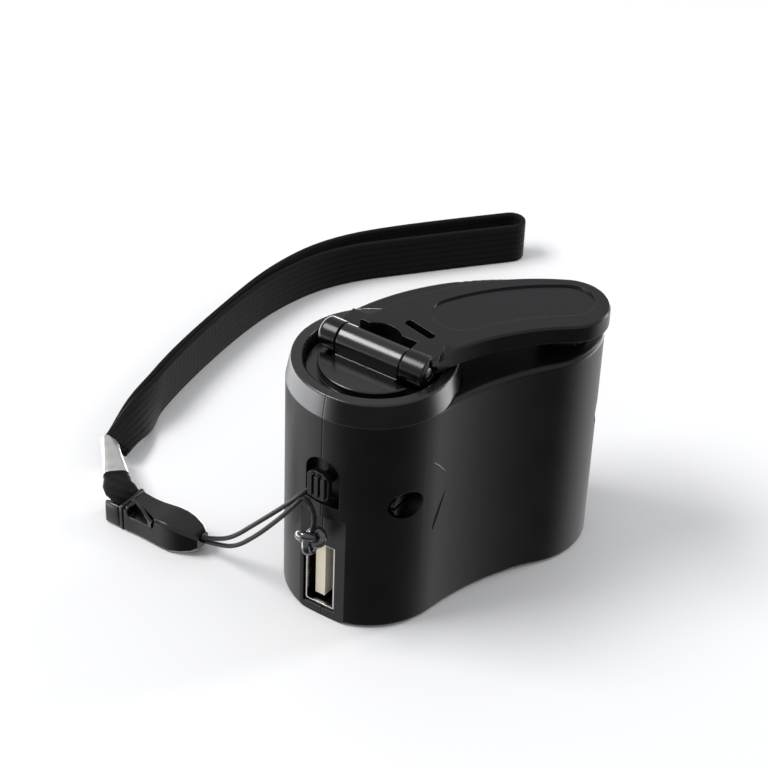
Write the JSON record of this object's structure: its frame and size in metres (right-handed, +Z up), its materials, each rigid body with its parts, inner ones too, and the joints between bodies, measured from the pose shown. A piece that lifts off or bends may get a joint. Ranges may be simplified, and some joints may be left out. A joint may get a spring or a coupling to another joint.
{
  "type": "hand crank phone charger",
  "caption": "Pocket hand crank generator with a folding crank arm on a kidney-shaped case, an upright USB-A socket at its foot and a wrist strap on a cord with a side-release buckle.",
  "frame": {"origin": "bottom centre of the charger's box, without its strap and cord", "axes": "+Z up; -X towards the round front with the USB socket; -Y towards the hollow near side with the screw holes"},
  "size_m": [0.1208, 0.0875, 0.0483],
  "materials": {
    "case_black": "satin moulded",
    "arm_black": "semi-gloss moulded",
    "steel": "machined",
    "nickel": "bright plated",
    "bush_bronze": "sintered",
    "gear_white": "acetal",
    "tongue_cream": "moulded",
    "contact_gold": "gold flash",
    "board_green": "solder mask",
    "magnet_grey": "ferrite",
    "copper": "enamelled wire",
    "component_black": "moulded",
    "cord_black": "braided",
    "strap_black": "woven",
    "buckle_black": "moulded"
  },
  "bodies": {
    "case": {"right_case_half": "case_black", "left_case_half": "case_black", "hub_collar": "case_black", "case_screws": "steel", "upper_shaft_bush": "bush_bronze", "lower_shaft_bush": "bush_bronze", "gear_plate": "component_black", "idler_pins": "steel", "generator_can": "steel", "generator_end_cap": "component_black", "generator_magnets": "magnet_grey", "generator_bush": "bush_bronze", "generator_terminals": "contact_gold", "generator_leads": "component_black", "usb_shell": "nickel", "usb_insulator": "tongue_cream", "usb_contacts": "contact_gold", "circuit_board": "board_green", "capacitor": "component_black", "rectifier_diodes": "component_black", "regulator_chip": "component_black", "inductor": "component_black", "lanyard_stud": "case_black", "lanyard_cord": "cord_black", "cord_knot": "cord_black", "buckle_socket": "buckle_black", "buckle_plug": "buckle_black", "strap_crimp": "nickel", "wrist_strap": "strap_black"},
    "crank": {"crank_hub": "arm_black", "crank_shaft": "steel", "drive_gear": "gear_white", "shaft_clip": "steel", "hinge_pin": "steel"},
    "arm": {"arm_knuckles": "arm_black", "crank_arm": "arm_black", "knob_pin": "steel"},
    "finger_knob": {"knob": "arm_black"},
    "first_idler": {"idler_gear_1": "gear_white"},
    "second_idler": {"idler_gear_2": "gear_white"},
    "rotor": {"generator_shaft": "steel", "rotor_core": "steel", "rotor_windings": "copper", "generator_pinion": "gear_white"}
  },
  "joints": [
    {"name": "crank_spin", "type": "hinge", "parent": "case", "child": "crank", "pos_m": [-0.0121, 0.00598, 0.0417], "axis": [0, 0, 1], "continuous": true},
    {"name": "arm_fold", "type": "hinge", "parent": "crank", "child": "arm", "pos_m": [-0.0121, 0.00598, 0.0457], "axis": [0, -1, 0], "range_deg": [0, 160]},
    {"name": "knob_spin", "type": "hinge", "parent": "arm", "child": "finger_knob", "pos_m": [0.0147, -0.01302, 0.0435], "axis": [0, 0, 1], "continuous": true},
    {"name": "idler_1_spin", "type": "hinge", "parent": "case", "child": "first_idler", "pos_m": [0.00189, 0.00549, 0.0355], "axis": [0, 0, 1], "continuous": true},
    {"name": "idler_2_spin", "type": "hinge", "parent": "case", "child": "second_idler", "pos_m": [0.00206, -0.00411, 0.0325], "axis": [0, 0, 1], "continuous": true},
    {"name": "rotor_spin", "type": "hinge", "parent": "case", "child": "rotor", "pos_m": [0.01043, -0.00484, 0.0225], "axis": [0, 0, 1], "continuous": true}
  ],
  "couplings": [
    {"joint": "idler_1_spin", "follows": "crank_spin", "ratio": -3.6667},
    {"joint": "idler_2_spin", "follows": "crank_spin", "ratio": 11},
    {"joint": "rotor_spin", "follows": "crank_spin", "ratio": -27.5}
  ]
}
